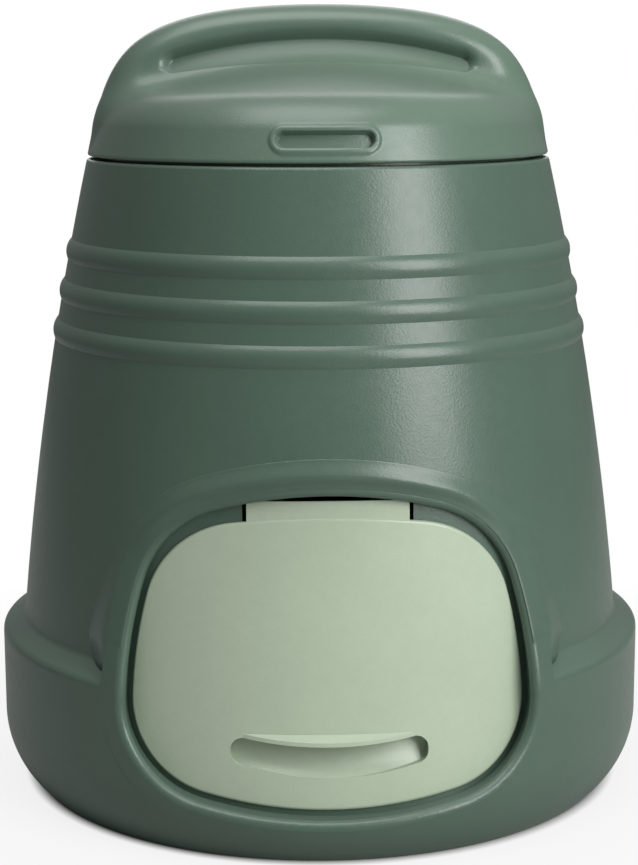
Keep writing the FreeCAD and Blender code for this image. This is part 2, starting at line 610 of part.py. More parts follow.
def slot_outline(grow):
    """Long finger slot with fully rounded ends."""
    r, x = SLOT_HALF_H + grow, SLOT_HALF_W - SLOT_HALF_H
    return Part.Wire([line(V(-x, 0, SLOT_Z + r), V(x, 0, SLOT_Z + r)),
                      arc(V(x, 0, SLOT_Z + r), V(x + r, 0, SLOT_Z), V(x, 0, SLOT_Z - r)),
                      line(V(x, 0, SLOT_Z - r), V(-x, 0, SLOT_Z - r)),
                      arc(V(-x, 0, SLOT_Z - r), V(-x - r, 0, SLOT_Z), V(-x, 0, SLOT_Z + r))])


def tube(outer_r, inner_r, z_from, z_to):
    outer = Part.makeCylinder(outer_r, z_to - z_from, V(0, 0, z_from))
    return outer.cut(Part.makeCylinder(inner_r, z_to - z_from, V(0, 0, z_from)))


def lid_shell():
    low = lid_low(0.0)
    top = ridge(0.0)
    outer = low.fuse(top)
    for side in (-1, 1):
        outer = outer.cut(grip_groove(side, 0.0))
    inside = lid_low(LID_WALL).fuse(ridge(LID_WALL))
    for side in (-1, 1):
        inside = inside.cut(grip_groove(side, LID_WALL))
    shell = outer.cut(inside)
    ring = tube(LID_R - 8, SEAT_RING_R, NECK_TOP_Z, NECK_TOP_Z + SEAT_RING_T)
    return with_slot(shell.fuse(ring.common(outer)))


def with_slot(shell):
    """Lets the finger slot, its rolled lip and its curved floor into the lid's skirt."""
    back = -NECK_R + SLOT_HALF_H
    clear_r = NECK_R + SLOT_CLEAR
    frame = prism(slot_outline(SLOT_LIP_W), -LID_R - 10, back).common(lid_low(-SLOT_LIP_PROUD))
    front = [e for e in frame.Edges if e.CenterOfMass.y < -LID_R + 2 * SLOT_HALF_H
             and e.Curve.TypeId != "Part::GeomLine"]
    frame = frame.makeFillet(SLOT_LIP_R, front)
    frame = frame.cut(Part.makeCylinder(clear_r, LID_TOP_Z))
    pocket = prism(slot_outline(0.0), -LID_R - 10, back)
    pocket = pocket.cut(Part.makeCylinder(clear_r + SLOT_FLOOR_T, LID_TOP_Z))
    return shell.fuse(frame).cut(pocket)


def all_parts():
    """Every piece by name; the tub and the lid each come in two rings that share a seam."""
    tub, lid = body_shell(), lid_shell()
    neck = Part.makeCylinder(NECK_SEAM_R, NECK_TOP_Z, V(0, 0, SHOULDER_Z - 2 * WALL))
    skirt = Part.makeCylinder(SKIRT_R, LID_SEAM_Z)
    parts = {"body_shell": tub.cut(neck), "neck_ring": tub.common(neck),
             "lid_shell": lid.cut(skirt), "lid_rim": lid.common(skirt),
             "hatch_panel": hatch_panel()}
    for side, name in ((-1, "left"), (1, "right")):
        parts["hinge_pin_" + name] = hinge_pin(side)
    return parts


os.makedirs("parts", exist_ok=True)
for name, shape in all_parts().items():
    if len(shape.Solids) == 1:
        shape = shape.Solids[0]
    shape.exportStep("parts/" + name + ".step")
    print(name, len(shape.Solids), shape.isValid(), round(shape.Volume))
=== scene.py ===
"""Garden compost bin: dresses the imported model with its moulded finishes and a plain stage.

Metres, +Z up, in the model's own frame, with the hatch facing -Y. The tub, the hatch and the
hinge pins are the model's own solids, and each operator gives one of them its finish. The lid is
a new skin in place of the model's, with softer blends. The tub gets a soft hood over the hatch,
and the scoop in the hatch gets rounded corners.
"""

import math

import bmesh
import bpy
from bpy.props import FloatProperty, FloatVectorProperty, IntProperty, PointerProperty
from mathutils import Matrix, Vector


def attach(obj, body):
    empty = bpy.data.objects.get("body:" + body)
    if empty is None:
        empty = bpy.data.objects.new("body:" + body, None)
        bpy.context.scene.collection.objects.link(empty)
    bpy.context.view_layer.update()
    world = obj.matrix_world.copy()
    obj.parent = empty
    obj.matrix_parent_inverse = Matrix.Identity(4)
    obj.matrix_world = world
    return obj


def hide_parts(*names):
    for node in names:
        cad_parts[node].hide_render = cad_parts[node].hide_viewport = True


bl_info = {
    "name": "Compost Bin",
    "version": (1, 0, 0),
    "blender": (4, 5, 0),
    "location": "View3D > Sidebar > Compost Bin",
    "description": "Finishes and stage for a garden compost bin with a lid and a hatch",
    "category": "Object",
}

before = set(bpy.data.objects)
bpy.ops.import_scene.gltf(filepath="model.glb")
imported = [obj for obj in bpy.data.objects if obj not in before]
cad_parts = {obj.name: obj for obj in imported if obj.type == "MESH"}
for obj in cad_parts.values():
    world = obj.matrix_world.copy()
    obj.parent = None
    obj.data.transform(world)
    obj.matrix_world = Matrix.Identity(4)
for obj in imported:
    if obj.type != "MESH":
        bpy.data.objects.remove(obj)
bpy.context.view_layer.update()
MM = 0.001
RIGHT_ANGLE = math.radians(90)
WELD = 0.01 * MM               # places nearer to each other than this are one
SHARP = math.radians(40)       # an edge with a greater turn stays sharp
HALVINGS = 22                  # steps that close in on a place, to well under a micrometre


def colour(hex_value):
    """sRGB hex, such as "4f6257", as the linear colour that a shader socket takes."""
    parts = [int(hex_value[i:i + 2], 16) / 255 for i in (0, 2, 4)]
    linear = [p / 12.92 if p <= 0.04045 else ((p + 0.055) / 1.055) ** 2.4 for p in parts]
    return (*linear, 1.0)


# Sizes and colours that a user would change

class BinColours(bpy.types.PropertyGroup):
    tub: FloatVectorProperty(
        name="Tub", description="Dark green of the tub", subtype="COLOR", size=4,
        min=0.0, max=1.0, default=colour("4a5f52"))
    lid: FloatVectorProperty(
        name="Lid", description="Green of the lid, a little bleached by the sun",
        subtype="COLOR", size=4, min=0.0, max=1.0, default=colour("54695b"))
    hatch: FloatVectorProperty(
        name="Hatch", description="Pale sage green of the emptying hatch", subtype="COLOR",
        size=4, min=0.0, max=1.0, default=colour("a9b7a1"))
    pins: FloatVectorProperty(
        name="Pins", description="Dark green of the hinge pins", subtype="COLOR", size=4,
        min=0.0, max=1.0, default=colour("39453c"))


class BinSurface(bpy.types.PropertyGroup):
    grain: FloatProperty(
        name="Grain", description="Width of one cell of the mould's leathery grain",
        default=2.2 * MM, min=0.2 * MM, max=10 * MM, unit="LENGTH")
    grain_depth: FloatProperty(
        name="Grain depth", description="Depth of that grain", default=0.10 * MM,
        min=0.0, max=1 * MM, unit="LENGTH")
    ripple: FloatProperty(
        name="Ripple", description="Length of the slow waves in a large thin wall",
        default=70 * MM, min=5 * MM, max=400 * MM, unit="LENGTH")
    ripple_depth: FloatProperty(
        name="Ripple depth", description="Height of those waves", default=0.25 * MM,
        min=0.0, max=3 * MM, unit="LENGTH")
    gloss: FloatProperty(
        name="Roughness", description="Roughness of the satin plastic", default=0.30,
        min=0.0, max=1.0, subtype="FACTOR")


def length(name, description, millimetres):
    """A size in millimetres as a property in metres."""
    return FloatProperty(name=name, description=description, default=millimetres * MM, min=-5.0,
                         max=5.0, precision=5, unit="LENGTH")


class BinLid(bpy.types.PropertyGroup):
    rim: length("Rim", "Outer radius of the rim", 246.6)
    foot: length("Foot", "Height of the rim over the ground", 675.0)
    rim_round: length("Rim rounding", "Rounding of the rim's outer edge", 2.5)
    wall: length("Wall", "Thickness of the moulding", 3.5)
    peak: length("Peak", "Height where the two slopes would meet", 786.0)
    shoulder: length("Shoulder", "Rounding where a slope turns down into the skirt", 24.0)
    shoulder_top: length("Shoulder top", "Height where that rounding has ended", 736.0)
    crown: length("Crown", "Height of the ridge's top", 832.0)
    spine: length("Spine", "Half the length of the ridge's straight part", 168.0)
    ridge_reach: length("Ridge reach", "Radius of the ridge's outline at the rim", 247.36)
    ridge_fall: length("Ridge fall", "Height over which that outline draws in", 32.96)
    ridge_half: length("Ridge half", "Half the ridge's thickness", 56.0)
    ridge_round: length("Ridge rounding", "Rounding along the ridge's top", 26.0)
    blend: length("Blend", "Width of the soft fill at the ridge's foot", 34.0)
    blend_rise: length("Blend rise", "Height over the rim where that fill is full", 60.0)
    blend_side: length("Blend side", "Distance from the ridge's middle where it is full", 50.0)
    pocket_half: length("Pocket", "Half the length of the finger pocket", 157.0)
    pocket_middle: length("Pocket height", "Middle of the pocket at its centre", 785.0)
    pocket_fall: length("Pocket fall", "How far its ends lie lower", 17.5)
    pocket_high: length("Pocket half height", "Half the pocket's height at its centre", 12.0)
    pocket_taper: length("Pocket taper", "How much less that is at its ends", 5.0)
    pocket_corner: length("Pocket corner", "Rounding of its corners", 7.0)
    pocket_lip: length("Pocket lip", "Depth at its lower edge", 1.6)
    pocket_deep: length("Pocket depth", "Depth under the nose", 11.0)
    pocket_soft: length("Pocket softness", "Width of the soft edge above and beside it", 13.0)
    slot_height: length("Slot height", "Middle of the finger slot in the skirt", 697.5)
    slot_half: length("Slot", "Half the slot's length", 48.0)
    slot_high: length("Slot half height", "Half the slot's height", 8.0)
    slot_lip: length("Slot lip", "Width of the rolled lip round the slot", 7.0)
    slot_proud: length("Slot lip height", "How far that lip stands out", 2.0)
    slot_depth: length("Slot depth", "Depth of the slot's floor", 6.6)
    seat_height: length("Seat", "Height of the ring that sits on the neck", 706.0)
    seat_inside: length("Seat inside", "Inner radius of that ring", 222.0)
    seat_outside: length("Seat outside", "Its outer radius, in the lid's wall", 231.0)
    lean: FloatProperty(
        name="Lean", description="How much the skirt draws in, per unit of height",
        default=0.374, min=0.0, max=2.0)
    slope: FloatProperty(
        name="Slope", description="How much a slope rises, per unit of radius", default=0.23,
        min=0.0, max=2.0)
    ridge_power: FloatProperty(
        name="Ridge power", description="How square the ridge's outline is", default=2.715,
        min=1.0, max=10.0)
    ridge_lean: FloatProperty(
        name="Ridge lean", description="How much the ridge's ends draw in, per unit of height",
        default=0.192, min=0.0, max=2.0)
    crown_rows: IntProperty(
        name="Crown rows", description="Rows of faces over the ridge's top", default=16, min=4,
        max=64)


class BinHood(bpy.types.PropertyGroup):
    proud: length("Proud", "How far the hood stands out of the wall at the top", 3.6)
    inside: length("Inside", "Width of the hood inside the surround's edge", 17.3)
    crest: length("Crest", "Distance of its crest inside that edge", 3.0)
    outside: length("Outside", "Width of the soft step outside that edge", 13.0)
    sunk: length("Sunk", "Depth of the skin's borders under the tub's surface", 0.5)
    end_sunk: length("End sunk", "Depth of its two ends under that surface", 14.0)
    skin: length("Skin", "Thickness of the skin", 1.5)
    wall_radius: length("Wall radius", "Radius of the wall's slow curve", 3769.18)
    wall_middle_r: length("Wall middle", "Centre of that curve, from the axis", -3426.55)
    wall_middle_z: length("Wall height", "Height of that centre", -171.63)
    low_r: length("Band foot", "Radius of the band above the skirt", 350.3)
    low_z: length("Band foot height", "Height where the band starts", 159.0)
    rise_z: length("Band rise", "Height of its second pole", 185.0)
    pull_r: length("Band pull", "Radius of its third pole", 320.0)
    pull_z: length("Band pull height", "Height of that pole", 268.0)
    end_r: length("Band end", "Radius of its last pole", 297.0)
    end_z: length("Band end height", "Height of that pole", 392.0)
    face_y: length("Face", "Place of the hatch's face", -308.0)
    face_z: length("Face height", "Height of the hatch's middle", 200.0)
    top_r: length("Top radius", "Radius of the surround's top edge", 430.4)
    top_up: length("Top centre", "Centre of that edge over the hatch's middle", -245.0)
    corner_r: length("Corner radius", "Radius of the surround's corners", 130.4)
    corner_x: length("Corner", "Centre of a corner, sideways", 78.93)
    corner_up: length("Corner height", "Centre of a corner, upwards", 44.43)
    side_r: length("Side radius", "Radius of the surround's sides", 488.4)
    side_x: length("Side", "Centre of a side, sideways", -263.5)
    side_up: length("Side height", "Centre of a side, upwards", -60.0)
    lean: FloatProperty(
        name="Lean", description="Degrees that the hatch leans back", default=5.5, min=0.0,
        max=45.0)
    top_end: FloatProperty(
        name="Top end", description="Degrees where the top edge turns into a corner",
        default=74.75, min=0.0, max=90.0)
    side_start: FloatProperty(
        name="Side start", description="Degrees where a corner turns into a side",
        default=16.96, min=0.0, max=90.0)
    side_end: FloatProperty(
        name="Side end", description="Degrees where the hood runs into the ledge", default=4.0,
        min=0.0, max=90.0)
    spread: FloatProperty(
        name="Spread", description="How much wider that step is per unit of its height",
        default=0.5, min=0.0, max=5.0)
    fade: IntProperty(
        name="Fade", description="Stations over which the hood's ends dip into the ledge",
        default=4, min=1, max=40)


class BinScoop(bpy.types.PropertyGroup):
    half: length("Half width", "Half the width of the scoop in the hatch", 97.0)
    top: length("Top", "Height of the scoop's top over the hatch's middle", -76.0)
    corner: length("Corner", "Rounding of the scoop's upper corners", 12.5)
    overlap: length("Overlap", "How far a rounded corner reaches into the panel", 0.6)
    proud: length("Proud", "How far it stands out of the panel's face", 0.05)
    depth: length("Depth", "Its depth behind that face", 16.0)
    curve: length("Curve", "Plan radius of the hatch's face", 375.0)


class BinStage(bpy.types.PropertyGroup):
    camera_turn: FloatProperty(
        name="Camera turn", description="Turn of the camera round the bin, from the front",
        default=math.radians(-1.7), subtype="ANGLE", unit="ROTATION")
    camera_distance: FloatProperty(
        name="Camera distance", description="Distance from the bin's axis, over the ground",
        default=2.1805, min=0.5, max=10.0, unit="LENGTH")
    camera_height: FloatProperty(
        name="Camera height", description="Height of the lens over the ground",
        default=0.76475, min=0.0, max=5.0, unit="LENGTH")
    camera_tilt: FloatProperty(
        name="Camera tilt", description="How far the camera looks down",
        default=math.radians(10.27), subtype="ANGLE", unit="ROTATION")
    camera_roll: FloatProperty(
        name="Camera roll", description="How far the camera leans to its right",
        default=math.radians(0.24), subtype="ANGLE", unit="ROTATION")
    lens: FloatProperty(
        name="Lens", description="Focal length in millimetres on a 36 mm sensor",
        default=83.6, min=10.0, max=300.0)
    floor_reach: FloatProperty(
        name="Floor", description="Half the width of the pale floor", default=6.0,
        min=1.0, max=50.0, unit="LENGTH")


def property_names(group):
    """Names of a group's own properties."""
    return [name for name in group.bl_rna.properties.keys() if name not in ("rna_type", "name")]


def settings():
    """The colours and the surface sizes that the user has set."""
    return bpy.context.scene.compost_bin_colours, bpy.context.scene.compost_bin_surface


# Materials

WHITE = (1.0, 1.0, 1.0, 1.0)
BLACK = (0.0, 0.0, 0.0, 1.0)
TOP_LIGHT_TINT = colour("a3b0a6")    # painted top light: the pale tint that faces looking up are lightened towards
MELT_DRIFT = 140 * MM          # width of the slow drift of pigment in the melt
FLECKS = 9 * MM                # width of the fine flecks in colour and gloss
TOP_LIGHT_FROM = 0.2              # upward share of a face's normal where the painted top light starts
MATTER, GLOSSIER = 0.08, 0.04  # how far the roughness strays up and down
PLASTIC_IOR = 1.5


def add(tree, kind, links=(), **values):
    """Adds one shader node, sets its values, and links the given inputs to outputs."""
    node = tree.nodes.new("ShaderNode" + kind)
    for name, value in values.items():
        if hasattr(node, name):
            setattr(node, name, value)
        else:
            node.inputs[name.replace("_", " ")].default_value = value
    for socket, output in dict(links).items():
        tree.links.new(output, node.inputs[socket])
    return node


def blank(name):
    """A new material with an empty node tree, and that tree."""
    material = bpy.data.materials.new(name)
    material.use_nodes = True
    material.node_tree.nodes.clear()
    return material, material.node_tree


def ramp(tree, factor, stops):
    """Colour ramp through the given (position, colour) stops."""
    node = add(tree, "ValToRGB", {"Fac": factor})
    band = node.color_ramp
    while len(band.elements) < len(stops):
        band.elements.new(0.5)
    for element, (position, value) in zip(band.elements, stops):
        element.position = position
        element.color = value
    return node


def tone(value, factor):
    """The same colour, lighter or darker by a factor."""
    return (*[min(1.0, part * factor) for part in value[:3]], 1.0)


def moulded(name, base, top_light, grain_share=1.0):
    """Satin injection-moulded polyolefin: even colour, slow waves, fine leathery grain.

    The colour drifts a little over a hand's width, as pigment does in the melt. The top-light
    share paints faces that look up lighter, as painted top light, and the grain's share sets how
    deep it is on this moulding.
    """
    _, surface = settings()
    material, tree = blank(name)
    place = add(tree, "TexCoord").outputs["Object"]
    drift = add(tree, "TexNoise", {"Vector": place}, Scale=1 / MELT_DRIFT, Detail=3.0)
    fine = add(tree, "TexNoise", {"Vector": place}, Scale=1 / FLECKS, Detail=4.0)
    melt = ramp(tree, drift.outputs["Fac"], [(0.3, tone(base, 0.96)), (0.7, tone(base, 1.04))])
    fleck = ramp(tree, fine.outputs["Fac"], [(0.35, tone(WHITE, 0.975)), (0.65, WHITE)])
    body = add(tree, "Mix", data_type="RGBA", blend_type="MULTIPLY")
    body.inputs["Factor"].default_value = 1.0
    tree.links.new(melt.outputs["Color"], body.inputs["A"])
    tree.links.new(fleck.outputs["Color"], body.inputs["B"])
    # Painted top light: faces that look up are lightened towards a pale tint, by the top-light
    # share
    normal = add(tree, "NewGeometry").outputs["Normal"]
    up = add(tree, "SeparateXYZ", {"Vector": normal}).outputs["Z"]
    top_lit_share = add(tree, "MapRange", {"Value": up})
    top_lit_share.inputs["From Min"].default_value = TOP_LIGHT_FROM
    top_lit_share.inputs["To Max"].default_value = top_light
    top_lit_colour = add(tree, "Mix", data_type="RGBA", blend_type="MIX")
    tree.links.new(top_lit_share.outputs["Result"], top_lit_colour.inputs["Factor"])
    tree.links.new(body.outputs["Result"], top_lit_colour.inputs["A"])
    top_lit_colour.inputs["B"].default_value = TOP_LIGHT_TINT
    rough = add(tree, "MapRange", {"Value": fine.outputs["Fac"]})
    rough.inputs["To Min"].default_value = surface.gloss - GLOSSIER
    rough.inputs["To Max"].default_value = surface.gloss + MATTER
    waves = add(tree, "TexNoise", {"Vector": place}, Scale=1 / surface.ripple, Detail=1.0)
    cells = add(tree, "TexVoronoi", {"Vector": place}, Scale=1 / surface.grain,
                feature="SMOOTH_F1", Smoothness=0.6)
    swell = add(tree, "Bump", {"Height": waves.outputs["Fac"]},
                Distance=surface.ripple_depth, Strength=1.0)
    skin = add(tree, "Bump",
               {"Height": cells.outputs["Distance"], "Normal": swell.outputs["Normal"]},
               Distance=surface.grain_depth * grain_share, Strength=1.0)
    shader = add(tree, "BsdfPrincipled",
                 {"Base Color": top_lit_colour.outputs["Result"], "Roughness": rough.outputs["Result"],
                  "Normal": skin.outputs["Normal"]}, IOR=PLASTIC_IOR)
    add(tree, "OutputMaterial", {"Surface": shader.outputs["BSDF"]})
    return material


def finish_node(node_name, material):
    """Gives one of the model's own solids its finish."""
    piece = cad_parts[node_name]
    piece.data.materials.clear()
    piece.data.materials.append(material)


# Sums that the forms share

def stations(*spans):
    """Even steps through spans given as (start, end, count), as one rising list."""
    places = [start + (end - start) * i / count
              for start, end, count in spans for i in range(count)]
    return places + [spans[-1][1]]


def smooth_step(value):
    """Runs softly from 0 to 1 while the value does."""
    t = min(max(value, 0.0), 1.0)
    return t * t * (3 - 2 * t)


def rounded_max(a, b, radius):
    """The greater of two distances, rounded where they meet, as at an outer edge."""
    if min(a, b) <= -radius:
        return max(a, b)
    return math.hypot(a + radius, b + radius) - radius


def blended_min(a, b, width):
    """The lesser of two distances, with a soft fill where they meet, as at an inner corner."""
    if width < 1e-6:
        return min(a, b)
    share = max(width - abs(a - b), 0.0) / width
    return min(a, b) - share * share * width / 4


def closed_in(near, far, is_before, steps=HALVINGS):
    """The place between near and far up to which is_before holds, by halving the way."""
    for _ in range(steps):
        half = (near + far) / 2
        if is_before(half):
            near = half
        else:
            far = half
    return near


# The lid's form: a shallow cone and a taller ridge from side to side, blended into each other

class LidForm:
    """Distance field of the lid's outside, and the places on it that the mesh is laid on."""

    SLOPE_STEP = 0.2 * MM          # step over which the field's slope is taken
    POCKET_CRISP = 1.2 * MM        # width of the pocket's edge below, which is not soft
    POCKET_RUN_OUT = 2.2           # power with which its soft edge runs out
    SLOT_EDGE = 0.3 * MM           # the slot's wall starts this far outside its edge
    SLOT_WALL = 1.6 * MM           # width over which that wall drops to the floor
    ROLL_INSIDE = 0.25             # share of the lip's roll that lies inside the slot's edge
    RAYS_BELOW = 15 * MM           # the crown's rays start this far below the last row
    RIM_TURNS = (0.0, 30.0, 60.0)  # degrees at which the rim's rounding has a row

    def __init__(self, size):
        for name in property_names(size):
            setattr(self, name, getattr(size, name))

    def low(self, r, z):
        """The cone and the skirt, by radius and height."""
        top = (z - self.peak + self.slope * r) / math.hypot(1, self.slope)
        side = (r - self.rim + self.lean * (z - self.foot)) / math.hypot(1, self.lean)
        return rounded_max(top, side, self.shoulder)

    def ridge(self, r, y, z):
        """The ridge, which is an arch from side to side with a rounded top."""
        rise = math.exp((z - self.crown) / self.ridge_fall)
        reach = r + self.ridge_lean * (z - self.foot)
        share = (reach / self.ridge_reach) ** (self.ridge_power - 1) / self.ridge_reach
        steep = self.ridge_power * share
        tall = (share * reach + rise - 1) / math.hypot(
            steep, rise / self.ridge_fall + steep * self.ridge_lean)
        return rounded_max(tall, abs(y) - self.ridge_half, self.ridge_round)

    def field(self, x, y, z):
        """Distance outside the lid's surface, below zero inside it."""
        r = math.hypot(x, y)
        width = (self.blend * smooth_step((z - self.foot) / self.blend_rise)
                 * smooth_step(abs(y) / self.blend_side))
        return blended_min(self.low(r, z), self.ridge(r, y, z), width)

    def normal(self, x, y, z):
        step = self.SLOPE_STEP
        slopes = [self.field(x + step, y, z) - self.field(x - step, y, z),
                  self.field(x, y + step, z) - self.field(x, y - step, z),
                  self.field(x, y, z + step) - self.field(x, y, z - step)]
        return Vector(slopes).normalized()

    def cross(self, start, ray):
        """Where a ray from inside the lid meets its outside."""
        return start + ray * closed_in(
            0.0, 2 * self.rim, lambda reach: self.field(*(start + ray * reach)) < 0)

    def pocket(self, x):
        """Middle height and half height of the finger pocket under the ridge's nose."""
        arch = (min(abs(x), self.pocket_half) / self.pocket_half) ** 2
        return (self.pocket_middle - self.pocket_fall * arch,
                self.pocket_high - self.pocket_taper * arch)

    def pocket_depth(self, x, z):
        """Depth of the pocket: a shallow lip below, deep under the nose, soft above and beside."""
        middle, high = self.pocket(x)
        corner = min(self.pocket_corner, high)
        across = abs(x) - (self.pocket_half - corner)
        up = abs(z - middle) - (high - corner)
        outside = math.hypot(max(across, 0.0), max(up, 0.0)) + min(max(across, up), 0.0) - corner
        climb = min(max((z - middle) / (2 * high) + 0.5, 0.0), 1.0)
        depth = self.pocket_lip + (self.pocket_deep - self.pocket_lip) * climb
        if outside <= 0:
            return depth
        below = smooth_step((middle - z) / high - 0.1) if up > -corner else 0.0
        width = self.pocket_soft + (self.POCKET_CRISP - self.pocket_soft) * below
        fade = max(1 - outside / width, 0.0)
        return depth * fade ** self.POCKET_RUN_OUT

    def slot_rise(self, x, z):
        """How far the skirt stands out round the finger slot, or lies back inside it."""
        across = max(abs(x) - (self.slot_half - self.slot_high), 0.0)
        outside = math.hypot(across, z - self.slot_height) - self.slot_high
        inwards = smooth_step((self.SLOT_EDGE - outside) / self.SLOT_WALL)
        inside = self.ROLL_INSIDE
        roll = min(max(outside / self.slot_lip, -inside), 1.0)
        lip = self.slot_proud * math.sin(math.pi * (roll + inside) / (1 + inside))
        return max(lip, 0.0) - inwards * self.slot_depth

    def heights(self, x):
        """Heights of the rows from the rim to above the finger pocket, closest at edges."""
        middle, high = self.pocket(x)
        skirt = self.foot + self.rim_round
        reach = self.slot_high + self.slot_lip
        slot_low, slot_top = self.slot_height - reach, self.slot_height + reach
        turn = self.shoulder_top
        lip_low, lip_top = middle - high - 4 * MM, middle - high + 3 * MM
        nose_low, nose_top = middle + high - 2 * MM, middle + high + 2 * MM
        soft_top = middle + high + self.pocket_soft + 2 * MM
        return stations((skirt, slot_low, 3), (slot_low, slot_top, 32), (slot_top, turn, 9),
                        (turn, lip_low, 10), (lip_low, lip_top, 9), (lip_top, nose_low, 6),
                        (nose_low, nose_top, 7), (nose_top, soft_top, 9))

    def column(self, start, aim, front):
        """Places from the rim up to the ridge's spine, over one point of the spine."""
        centre = Vector((start, 0.0, 0.0))
        out = Vector((math.cos(aim), -math.sin(aim), 0.0))
        places = []
        for z in self.heights(start):
            places.append(self.cross(centre + Vector((0.0, 0.0, z)), out))
        edge = places[0]
        roll = []
        for turn in map(math.radians, self.RIM_TURNS):
            place = edge - out * self.rim_round * (1 - math.sin(turn))
            place.z = edge.z - self.rim_round * math.cos(turn)
            roll.append(place)
        last = places[-1]
        inside = centre + Vector((0.0, 0.0, last.z - self.RAYS_BELOW))
        first = math.atan2(last.z - inside.z, (last - centre).dot(out))
        for i in range(1, self.crown_rows + 1):
            tilt = first + (RIGHT_ANGLE - first) * i / self.crown_rows
            ray = out * math.cos(tilt) + Vector((0.0, 0.0, math.sin(tilt)))
            places.append(self.cross(inside, ray))
        shaped = []
        for place in places:
            normal = self.normal(*place)
            depth = self.pocket_depth(place.x, place.z)
            rise = self.slot_rise(place.x, place.z) if front else 0.0
            shaped.append(place + normal * (rise - depth))
        if not front:
            shaped = [Vector((p.x, -p.y, p.z)) for p in shaped]
            roll = [Vector((p.x, -p.y, p.z)) for p in roll]
        return roll + shaped


# The hood: a soft band that the surround of the hatch raises out of the wall

class HoodForm:
    """Wall and surround as turned surfaces, and the soft step between them over the hatch."""

    BORDER = 1.2 * MM              # width of the inner border, which dips under the surface
    ROWS_FROM = 3.5 * MM           # the even rows start this far from the inner border
    OUTER_BORDER = 1 * MM          # width of the outer border, which dips under the wall
    BEFORE, BEHIND = 150 * MM, 250 * MM  # depth before and behind the hatch's face to look in
    BAND_HALVINGS = 24             # steps that close in on a place along the band's curve

    def __init__(self, size):
        for name in property_names(size):
            setattr(self, name, getattr(size, name))

    def wall(self, z):
        """Radius of the tub's wall."""
        rise = z - self.wall_middle_z
        return self.wall_middle_r + math.sqrt(self.wall_radius ** 2 - rise ** 2)

    def band(self, z):
        """Radius of the surround's leaning band, which is a curve with four poles."""
        heights = (self.low_z, self.rise_z, self.pull_z, self.end_z)
        radii = (self.low_r, self.low_r, self.pull_r, self.end_r)

        def along(t, poles):
            weights = ((1 - t) ** 3, 3 * t * (1 - t) ** 2, 3 * t * t * (1 - t), t ** 3)
            return sum(weight * pole for weight, pole in zip(weights, poles))

        return along(closed_in(0.0, 1.0, lambda t: along(t, heights) < z, self.BAND_HALVINGS),
                     radii)

    def radius(self, off, z, reach):
        """Radius of the hood's skin at a distance off outside the surround's edge."""
        wall, band = self.wall(z), self.band(z)
        lift = max(self.proud - (band - wall), 0.0)
        crest = self.crest * lift / self.proud
        rise = smooth_step((off + self.inside) / (self.inside - self.crest))
        fall = smooth_step((off + crest) / (reach + crest))
        skin = (band + lift * rise) * (1 - fall) + wall * fall
        if off <= -self.inside or off >= reach:
            return skin - self.sunk
        return skin + self.sunk / 4

    def place(self, x, up, off, reach):
        """Place on the skin straight in front of (x, up) on the leaning hatch."""
        lean = math.radians(self.lean)

        def at(depth):
            return (x, self.face_y + depth * math.cos(lean) + up * math.sin(lean),
                    self.face_z - depth * math.sin(lean) + up * math.cos(lean))

        def is_before(depth):
            _, y, z = at(depth)
            return math.hypot(x, y) > self.radius(off, z, reach)

        return Vector(at(closed_in(-self.BEFORE, self.BEHIND, is_before)))

    def outline(self):
        """Stations on the surround's outer edge: (x, up, outward x, outward up)."""
        arcs = ((self.top_r, (0.0, self.top_up), 90.0, self.top_end, 12),
                (self.corner_r, (self.corner_x, self.corner_up),
                 self.top_end, self.side_start, 26),
                (self.side_r, (self.side_x, self.side_up), self.side_start, self.side_end, 14))
        stops = []
        for reach, centre, first, last, count in arcs:
            for i in range(count):
                turn = math.radians(first + (last - first) * i / count)
                out = (math.cos(turn), math.sin(turn))
                stops.append((centre[0] + reach * out[0], centre[1] + reach * out[1], *out))
        return stops

    def columns(self):
        """Places across the hood at every station of the outline, from inside to outside."""
        inner = [-self.inside, self.BORDER - self.inside]
        inner += stations((self.ROWS_FROM - self.inside, -self.crest, 5))
        columns = []
        stops = self.outline()
        for i, (x, up, out_x, out_up) in enumerate(stops):
            z = self.face_z + up
            inwards = self.end_sunk * (1 - smooth_step((len(stops) - 1 - i) / self.fade))
            reach = self.outside + self.spread * max(self.band(z) - self.wall(z), 0.0)
            outer = stations((0.0, reach + self.crest - self.OUTER_BORDER, 14))[1:]
            offs = inner + [off - self.crest for off in outer] + [reach]
            columns.append([self.place(x + off * out_x, up + off * out_up, off, reach)
                            + Vector((0.0, inwards, 0.0)) for off in offs])
        return columns


# Meshes

def lay_grid(bm, columns):
    """Lays a grid of faces on columns of places that all have as many rows."""
    across, up = len(columns) - 1, len(columns[0]) - 1
    grid = bmesh.ops.create_grid(bm, x_segments=across, y_segments=up, size=1.0)
    for vert in grid["verts"]:
        i = round((vert.co.x + 1) / 2 * across)
        j = round((vert.co.y + 1) / 2 * up)
        vert.co = columns[i][j]


def mirror_across(bm):
    """Adds the left half of a form to its right half."""
    bmesh.ops.mirror(bm, geom=bm.verts[:] + bm.edges[:] + bm.faces[:], axis="X",
                     merge_dist=WELD)


def new_piece(bm, name, body, material, wall=0.0):
    """Turns a bmesh into a smooth piece that rides on a body, with a wall behind its skin."""
    bmesh.ops.remove_doubles(bm, verts=bm.verts, dist=WELD)
    bmesh.ops.recalc_face_normals(bm, faces=bm.faces)
    mesh = bpy.data.meshes.new(name)
    bm.to_mesh(mesh)
    bm.free()
    mesh.shade_smooth()
    mesh.set_sharp_from_angle(angle=SHARP)
    mesh.materials.append(material)
    piece = bpy.data.objects.new(name, mesh)
    bpy.context.scene.collection.objects.link(piece)
    if wall:
        back = piece.modifiers.new("wall", "SOLIDIFY")
        back.thickness = wall
        back.offset = -1.0
    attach(piece, body)
    return piece


